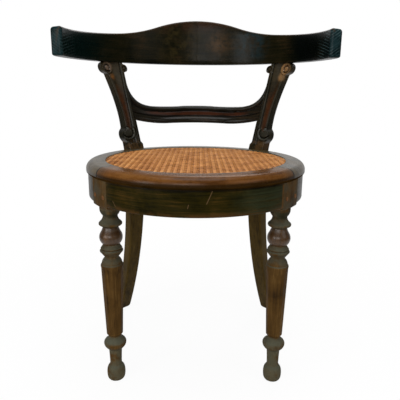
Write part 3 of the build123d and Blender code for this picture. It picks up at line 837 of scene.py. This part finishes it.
def crest_half():
    """Half of the crest, from the seam to its rounded end; marks: a paler inner rim along its top."""
    round_r, end_r, step, rows = 6, 6, 1.5, 8
    arc_mm = 289 * radians(1)
    stops = [(0, 0.35), (0.07, 0)] + [(step * k, 0) for k in range(1, 60)]
    stops = [s for s in stops if s[0] < CREST_END - end_r / arc_mm - 0.4]
    for a in map(radians, range(0, 91, 15)):
        stops.append((CREST_END - (end_r - end_r * sin(a)) / arc_mm, end_r - end_r * cos(a)))
    rings, marks = [], []
    for angle, inset in stops:
        inner, outer, low = CREST_IN + inset, CREST_OUT - inset, CREST_LOW + 0.6 * inset
        edge = max(4, round_r - inset)
        foot = 1.2 + 2.8 * smooth(angle, CREST_END - 5, CREST_END - 0.5)
        ring = [(inner + foot + (outer - inner - 2 * foot) * s / rows, low) for s in range(rows + 1)]
        ring += rounded(outer - foot, low + foot, foot, (-60, -30, 0))
        rise = crest_top(outer, angle) - edge - inset - low - foot
        ring += [(outer, low + foot + rise * s / rows) for s in range(1, rows)]
        worn = [0] * len(ring)
        for r0, way, turns in ((outer, 1, range(0, 91, 18)), (inner, -1, range(90, -1, -18))):
            for t in turns:
                a = radians(t)
                r = r0 - way * edge + way * edge * cos(a)
                ring.append((r, crest_top(r, angle) - edge + edge * sin(a) - inset))
                worn.append(0.6 if way < 0 and 20 < t < 80 else 0)
        rise = crest_top(inner, angle) - edge - inset - low - foot
        ring += [(inner, low + foot + rise * s / rows) for s in range(rows - 1, 0, -1)]
        ring += rounded(inner + foot, low + foot, foot, (180, 210, 240))
        rings.append([at(angle, r, 0, z) for r, z in ring])
        marks += [(0, rim, 0) for rim in worn] + [PLAIN] * (len(ring) - len(worn))
    return loft(rings), marks


# Cane and pegs
def cane_weave():
    """Six-way weave: pairs of strands along and across, single ones on both diagonals."""
    pitch, pair, radius, level = 12.2, 1.32, 194.2, 460.05
    lift, diagonal_lift, rim, end_gap = 0.42, 0.68, 3, 0.6
    width, diagonal_width, diagonal_length = 2.45, 2.5, 1.414
    tone_along, tone_across, tone_diagonal = 0.84, 0.6, 0.34
    strip = [(-0.5, -0.22), (-0.4, 0.12), (0, 0.3), (0.4, 0.12), (0.5, -0.22)]
    side = pair / pitch
    knots = [pitch * (i + k) for i in range(-34, 35) for k in (-side, 0, side, 0.26, 0.5, 0.74)]
    parts, values, tones = [], [], []

    def swing(q):
        """Over one crossing strand, under the next."""
        q = (q + 0.5) % 1 - 0.5
        if abs(q) <= side:
            return sin(pi / 2 * q / side)
        return copysign(0.5 + 0.5 * cos(pi * (abs(q) - side) / (0.5 - side)), q)

    def stops(reach, places):
        """Places along a strand, in order, with its two ends."""
        return sorted({-reach, reach} | {t for t in places if abs(t) < reach - end_gap})

    def strand(points, wide, tone):
        """Flat crowned strip along its points, each with its direction across."""
        number = float(len(parts) + 1)
        rings = []
        for x, y, z, ax, ay, along in points:
            rings.append([(x + ax * s * wide, SEAT_Y + y + ay * s * wide, level + z + h) for s, h in strip])
            for s, _ in strip:
                values.extend((along * MM, s * wide * MM, number))
                tones.append((tone, 0, 0))
        parts.append(loft(rings))

    for i in range(-16, 17):
        for which in (-1, 1):
            place = pitch * i + which * pair
            if abs(place) > radius - rim:
                continue
            reach = sqrt(radius**2 - place**2)
            rises = [(t, which * lift * swing(t / pitch)) for t in stops(reach, knots)]
            strand([(place, t, -z, 1, 0, t) for t, z in rises], width, tone_along)
            strand([(t, place, z, 0, 1, t) for t, z in rises], width, tone_across)
    for k in range(-24, 24):
        place = pitch * (k + 0.5)
        gap = abs(place) / sqrt(2)
        if gap > radius - rim:
            continue
        reach = sqrt(radius**2 - gap**2) / sqrt(2)
        middle = -place / 2
        for sign in (1, -1):
            points = []
            for t in stops(reach, [pitch * j / 6 - middle for j in range(-200, 201)]):
                x = middle + t
                z = sign * diagonal_lift * cos(tau * x / pitch)
                points.append((sign * x, x + place, z, sqrt(0.5), -sign * sqrt(0.5), t * diagonal_length))
            strand(points, diagonal_width, tone_diagonal)
    return joined(parts), values, tones


def pegs(angle, face, offset):
    """Two slightly uneven pegs in each leg of a pair, their heads domed."""
    rim = [(0.6, -0.35), (2.2, -0.25), (3.6, 0), (4.3, 0.35), (4.5, 0.9), (4.5, 26.2), (4.1, 27)]
    proud, uneven, corners = 0.35, 0.03, 20
    turns = [tau * k / corners for k in range(corners)]
    parts = []
    for turn in (1, -1):
        for side in (1, -1):
            rings = []
            for r, depth in rim:
                reach = [(r * (1 + uneven * sin(3 * t + side)), t) for t in turns]
                rings.append([at(turn * angle, face + proud - depth, side * offset + d * cos(t),
                                 PEG_Z + d * sin(t)) for d, t in reach])
            parts.append(loft(rings))
    return joined(parts)


# Finishes: deep, middle and light tone, then what sets each wood apart
PALE = (0.172, 0.093, 0.037)
SCRATCH = (0.105, 0.062, 0.03)
CREST_END_GRAIN = radians(CREST_END) * GRAIN_R

crest_wood = wood(
    "crest_wood", (0.0014, 0.0022, 0.0012), (0.0078, 0.0068, 0.0025), (0.02, 0.0125, 0.0048),
    gloss=0.055, rough=(0.18, 0.32), streak=0.9, edge=0.3, line=(0.044, 0.023, 0.01), tints=(
        (spot((-0.27, 0.02, 0.7), 0.02, 0.19, 0.05), (0.0005, 0.005, 0.0042)),
        (spot((0.255, 0.07, 0.71), 0.03, 0.1, 0.03), (0.0005, 0.0014, 0.0009)),
        (spot((0.29, -0.04, 0.7), 0.02, 0.09, 0.03), (0.0004, 0.0036, 0.004)),
        (patchy(spot((0.058, 0.24, 0.728), 0, 0.044, 0.014), 70, 0.28, 0.58, 1), (0.044, 0.0235, 0.008)),
        # painted sheen: bluish-grey reflection on the crest's inner face, right of the middle
        (patchy(spot((0.14, 0.205, 0.722), 0.01, 0.062, 0.02), 45, 0.35, 0.65, 0.9), (0.007, 0.022, 0.027)),
        (patchy(spot((-0.05, 0.242, 0.73), 0.01, 0.09, 0.03), 55, 0.42, 0.62, 0.9), (0.022, 0.0165, 0.0055)),
        (patchy(above(0.745, 0.782), 25, 0.35, 0.65, 0.7), (0.034, 0.013, 0.0052)),
        (patchy(near_ends(CREST_END_GRAIN - 0.0055, CREST_END_GRAIN - 0.0025, 0.75), 60, 0.3, 0.6, 1),
         (0.0085, 0.0245, 0.027)),
        (year_rings(0.326, 0.366, 1), (0.036, 0.06, 0.062)),
    ))
# line colour: painted highlights along the beads
rail_wood = wood(
    "rail_wood", (0.003, 0.0028, 0.0016), (0.008, 0.0068, 0.004), (0.022, 0.013, 0.006),
    gloss=0.13, rough=(0.16, 0.28), seed=2.3, edge=0.2, line=(0.027, 0.03, 0.025), panel=(0.04, 0.01, 0.0032))
# line colour: painted highlights on the carving
post_wood = wood(
    "post_wood", (0.0042, 0.004, 0.0018), (0.0115, 0.0098, 0.0046), (0.027, 0.018, 0.007),
    gloss=0.14, rough=(0.2, 0.36), seed=5.1, edge=0.15, line=(0.047, 0.047, 0.038), panel=(0.05, 0.0138, 0.0036),
    tints=(
        (patchy(above(0.6, 0.64), 40, 0.3, 0.55, 0.7), (0.034, 0.0245, 0.011)),
        (patchy(below(0.488, 0.479), 60, 0.36, 0.58, 0.9), (0.05, 0.027, 0.0095)),
        (spot((0.2178, 0.1353, 0.66), 0.009, 0.018, 0.008), PALE),
        (spot((0.2085, 0.136, 0.641), 0.006, 0.015, 0.008), PALE),
        (spot((-0.2178, 0.1353, 0.662), 0.005, 0.016, 0.01), (0.085, 0.056, 0.036)),
        (spot((-0.2065, 0.137, 0.64), 0.002, 0.011, 0.012), (0.11, 0.044, 0.01)),
    ))
sabre_wood = wood(
    "sabre_wood", (0.022, 0.0125, 0.0022), (0.052, 0.0315, 0.0058), (0.08, 0.05, 0.013),
    gloss=0.05, rough=(0.3, 0.5), seed=6.4, edge=0.3)
# line colour: painted light on the turnings' upward faces
front_leg_wood = wood(
    "front_leg_wood", (0.022, 0.0105, 0.0024), (0.06, 0.0295, 0.0064), (0.112, 0.06, 0.0165),
    gloss=0.05, rough=(0.55, 0.72), seed=7.7, edge=0.1, streak=0.85, line=(0.07, 0.071, 0.049), tints=(
        (patchy(overlap(above(0.262, 0.268), below(0.384, 0.38)), 48, 0.36, 0.56, 0.6), (0.066, 0.064, 0.042)),
        # painted shade: dark band on the neck between the block and the top disc
        (patchy(overlap(above(0.358, 0.364), below(0.38, 0.374)), 34, 0.3, 0.55, 0.75), (0.012, 0.015, 0.006)),
        (patchy(below(0.106, 0.1), 40, 0.32, 0.52, 0.7), (0.076, 0.074, 0.047)),
        (patchy(above(0.383, 0.388), 26, 0.36, 0.6, 0.75), (0.05, 0.043, 0.026)),
    ))
vase_wood = wood(
    "vase_wood", (0.02, 0.0088, 0.0024), (0.046, 0.0205, 0.005), (0.092, 0.04, 0.0094),
    gloss=0.42, rough=(0.34, 0.37), seed=8.6, edge=0, streak=0.8, relief=0.004)
ring_front_wood = wood(
    "ring_front_wood", (0.044, 0.015, 0.0026), (0.108, 0.0405, 0.008), (0.165, 0.07, 0.017),
    gloss=0.11, rough=(0.22, 0.34), streak=0.7, edge=0, seed=9.4, tints=(
        (near_ends(0.185, 0.232, 0.55), (0.052, 0.033, 0.0165)),
        # painted shade: the lower half of the front ring is darker
        (below(0.4525, 0.4465), (0.022, 0.0092, 0.0014)),
        (seam(0.2308), (0.003, 0.002, 0.001)),
    ))
# painted shade: a darker, matte copy of the ring's wood for its underside
ring_under_shaded_wood = wood(
    "ring_under_shaded_wood", (0.011, 0.0056, 0.0012), (0.024, 0.0112, 0.0022), (0.046, 0.022, 0.005),
    gloss=0, rough=(0.7, 0.85), edge=0, seed=10.1)
ring_side_wood = wood(
    "ring_side_wood", (0.026, 0.0165, 0.0058), (0.058, 0.04, 0.0165), (0.092, 0.066, 0.031),
    gloss=0.36, rough=(0.24, 0.4), streak=0.7, edge=0, seed=11.2, tints=(
        (blotches(30, 0.48, 0.66, 0.65), (0.018, 0.021, 0.0125)),
        # painted shade: the lower part of the side rings is darker
        (below(0.4515, 0.4435), (0.026, 0.017, 0.007)),
        (seam(0.5505), (0.004, 0.0026, 0.0014)),
    ))
apron_wood = wood(
    "apron_wood", (0.005, 0.0042, 0.0004), (0.016, 0.0118, 0.0011), (0.042, 0.023, 0.0038),
    gloss=0.045, rough=(0.28, 0.46), streak=1.15, edge=0.3, seed=13.8, tints=(
        (patchy(below(0.4, 0.391), 30, 0.34, 0.56, 0.9), (0.052, 0.0235, 0.005)),
        (overlap(spot((0.13, -0.225, 0.42), 0.02, 0.09, 0.05), grain_streaks(0.85)), (0.022, 0.0265, 0.0118)),
        (patchy(towards_end(0.1945, 0.1975), 60, 0.25, 0.5, 0.9), (0.082, 0.037, 0.0095)),
        # painted shadow: a dark line under the seat ring
        (above(0.434, 0.4375), (0.0016, 0.0014, 0.0006)),
        (scratch((0.033, 0.437), (0.0221, 0.414), 0.0009), SCRATCH),
        (scratch((-0.0114, 0.4131), (-0.0133, 0.4059), 0.0008), SCRATCH),
        (scratch((-0.1796, 0.4053), (-0.171, 0.3952), 0.0008), SCRATCH),
    ))
side_apron_wood = wood(
    "side_apron_wood", (0.01, 0.0074, 0.003), (0.026, 0.0195, 0.01), (0.05, 0.039, 0.022),
    gloss=0.16, rough=(0.26, 0.44), streak=1.3, edge=0.3, seed=17.3)
peg_wood = wood(
    "peg_wood", (0.07, 0.028, 0.01), (0.125, 0.055, 0.021), (0.18, 0.088, 0.038),
    gloss=0.03, rough=(0.5, 0.7), edge=0.1)
dowel_wood = wood("dowel_wood", (0.2, 0.11, 0.05), (0.32, 0.19, 0.09), (0.42, 0.26, 0.13), gloss=0.2, use_space=True)

# Pieces
front_leg_shape, front_leg_marks = front_leg()
rear_leg_shape, rear_leg_marks = rear_leg()
rail_shape, rail_marks = rail()
crest_shape, crest_marks = crest_half()
on_vase, below_seat, shaded_under_ring = (vase_wood, 305.5, 341), (sabre_wood, -1, 462), (ring_under_shaded_wood, 430, 444.2)
for side_name, turned in (("right", lambda shape: shape), ("left", mirrored)):
    add_piece("turned_leg_" + side_name, turned(front_leg_shape), front_leg_wood, "front_leg_" + side_name,
              upright_grain, marks=front_leg_marks, zone=on_vase)
    add_piece("sabre_leg_" + side_name, turned(rear_leg_shape), post_wood, "rear_leg_" + side_name,
              upright_grain, sharp=60, marks=rear_leg_marks, zone=below_seat)
    add_piece("crest_half_" + side_name, turned(crest_shape), crest_wood, "crest_rail_" + side_name,
              polar_grain, marks=crest_marks)
add_piece("moulded_cross_rail", rail_shape, rail_wood, "back_cross_rail", polar_grain, sharp=50, marks=rail_marks)

right_notch, left_notch = notch_box(REAR_ANGLE), notch_box(-REAR_ANGLE)
ring_segments = {
    "right": (REAR_ANGLE, FRONT_ANGLE, ring_side_wood, polar_grain, [right_notch]),
    "left": (-FRONT_ANGLE, -REAR_ANGLE, ring_side_wood, polar_grain, [left_notch]),
    "front": (FRONT_ANGLE, 360 - FRONT_ANGLE, ring_front_wood, front_grain, None),
    "rear": (-REAR_ANGLE, REAR_ANGLE, ring_side_wood, polar_grain, [right_notch, left_notch]),
}
for where, (first, last, finish, grain, notches) in ring_segments.items():
    add_piece("ring_segment_" + where, swept(ring_section(), first, last), finish, "seat_ring_" + where, grain,
              cut=notches, zone=shaded_under_ring)
aprons = {
    "front": ((FRONT_ANGLE, BLOCK_HALF), (360 - FRONT_ANGLE, -BLOCK_HALF), apron_wood, front_grain),
    "right": ((REAR_ANGLE, REAR_HALF), (FRONT_ANGLE, -BLOCK_HALF), side_apron_wood, polar_grain),
    "left": ((-FRONT_ANGLE, BLOCK_HALF), (-REAR_ANGLE, -REAR_HALF), side_apron_wood, polar_grain),
    "rear": ((-REAR_ANGLE, REAR_HALF), (REAR_ANGLE, -REAR_HALF), apron_wood, polar_grain),
}
for where, (*ends, finish, grain) in aprons.items():
    add_piece("apron_board_" + where, apron_shape(ends), finish, "apron_" + where, grain)
weave, strands, tones = cane_weave()
add_piece("woven_cane", weave, cane_material(), "cane_panel", values=strands, sharp=75, marks=tones)
add_piece("front_pegs", pegs(FRONT_ANGLE, APRON_R, offset=17.7), peg_wood, "front_leg_pegs", upright_grain)
add_piece("rear_pegs", pegs(REAR_ANGLE, REAR_BACK, offset=14), peg_wood, "rear_leg_pegs", upright_grain)
for node in ("ring_joint_dowels", "ring_apron_dowels", "crest_joint_dowels", "post_top_dowels"):
    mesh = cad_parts[node].data
    mesh.materials.clear()
    mesh.materials.append(dowel_wood)

# Camera, as fitted to the photograph: distances from the seat's axis in metres, angles in radians
FOCAL_PX, FRAME_PX, SENSOR = 446.75, 400, 36
PITCH, ROLL, YAW = 0.2362, 0.0078, 0.0036
CAMERA_X, CAMERA_DISTANCE, CAMERA_HEIGHT = 0.01, 0.9772, 0.6016
# Lamps: place, aim, width and height in metres, power in watts
LAMPS = {
    "window_left": ((-1.65, -1.5, 0.85), (-0.05, -0.1, 0.45), 0.65, 0.75, 14),
    "window_front": ((-0.42, -2.25, 1), (-0.02, -0.1, 0.45), 1.3, 0.65, 18),
    "overhead": ((0, -0.45, 2.3), (0, -0.05, 0.46), 1.5, 1.1, 26),
    "fill": ((1.9, -1.5, 1.5), (0, 0, 0.4), 1.4, 1.4, 10),
    "behind": ((0.4, 1.7, 2.3), (0, 0.05, 0.45), 1.4, 1.4, 24),
}


def set_camera():
    """Camera that sees the chair as the photograph does."""
    data = bpy.data.cameras.new("photo_camera")
    data.sensor_width, data.lens, data.clip_start = SENSOR, SENSOR * FOCAL_PX / FRAME_PX, 0.01
    turn = Matrix.Rotation(-YAW, 4, "Z")
    aim = turn @ Matrix.Rotation(pi / 2 - PITCH, 4, "X") @ Matrix.Rotation(ROLL, 4, "Z")
    place = turn @ Vector((CAMERA_X, -CAMERA_DISTANCE, CAMERA_HEIGHT)) + Vector((0, SEAT_Y * MM, 0))
    bpy.context.scene.camera = linked("photo_camera", data)
    bpy.context.scene.camera.matrix_world = Matrix.Translation(place) @ aim


def set_lamps():
    """Rectangular lamps, each turned to its aim."""
    for name, (place, aim, width, height, power) in LAMPS.items():
        data = bpy.data.lights.new(name, "AREA")
        data.shape, data.size, data.size_y, data.energy = "RECTANGLE", width, height, power
        lamp = linked(name, data)
        lamp.location = place
        lamp.rotation_euler = (Vector(aim) - Vector(place)).to_track_quat("-Z", "Y").to_euler()


def set_world(level, front, behind):
    """White background, darker for reflections of the room before the chair."""
    world = bpy.data.worlds.new("studio")
    bpy.context.scene.world = world
    world.use_nodes = True
    n = Nodes(world.node_tree)
    ground = n.tree.nodes["Background"].inputs
    ground["Color"].default_value = (1, 1, 1, 1)
    seen, reflected, matte = n.rays()
    depth = n.split(n.add("ShaderNodeTexCoord").outputs["Generated"])[1]
    seen = n.larger(seen, n.times(reflected, n.span(depth, 0, 0.8, front, behind)))
    n.put(ground["Strength"], n.larger(seen, n.times(matte, level)))


def set_floor():
    """White sheet that fades into the background and keeps a faint shadow."""
    radius, near, far = 1.25, 0.25, 1.1
    mesh = bpy.data.meshes.new("floor")
    rim = rounded(0, 0, radius, range(0, 360, 5))
    mesh.from_pydata([(x, y, 0) for x, y in rim], [], [tuple(range(len(rim)))])
    material = bpy.data.materials.new("white_floor")
    material.use_nodes = True
    n = Nodes(material.node_tree)
    n.tree.nodes.remove(n.tree.nodes["Principled BSDF"])
    paper, white = n.add("ShaderNodeBsdfDiffuse", (0.8, 0.8, 0.8, 1)), n.add("ShaderNodeEmission")
    reach = n.vector("LENGTH", n.add("ShaderNodeTexCoord").outputs["Object"])
    seen, reflected, _ = n.rays()
    seen = n.times(seen, n.span(reach, near, far, 0.94, 1))
    reflected = n.times(reflected, n.span(reach, near, far, 0.25, 1))
    blend = n.add("ShaderNodeMixShader", n.larger(seen, reflected), paper.outputs[0], white.outputs[0])
    n.put(n.tree.nodes["Material Output"].inputs["Surface"], blend.outputs[0])
    mesh.materials.append(material)
    floor = linked("floor", mesh)


set_camera()
set_world(level=0.32, front=0.05, behind=0.7)
set_floor()
set_lamps()
bpy.context.scene.view_settings.view_transform = "Standard"
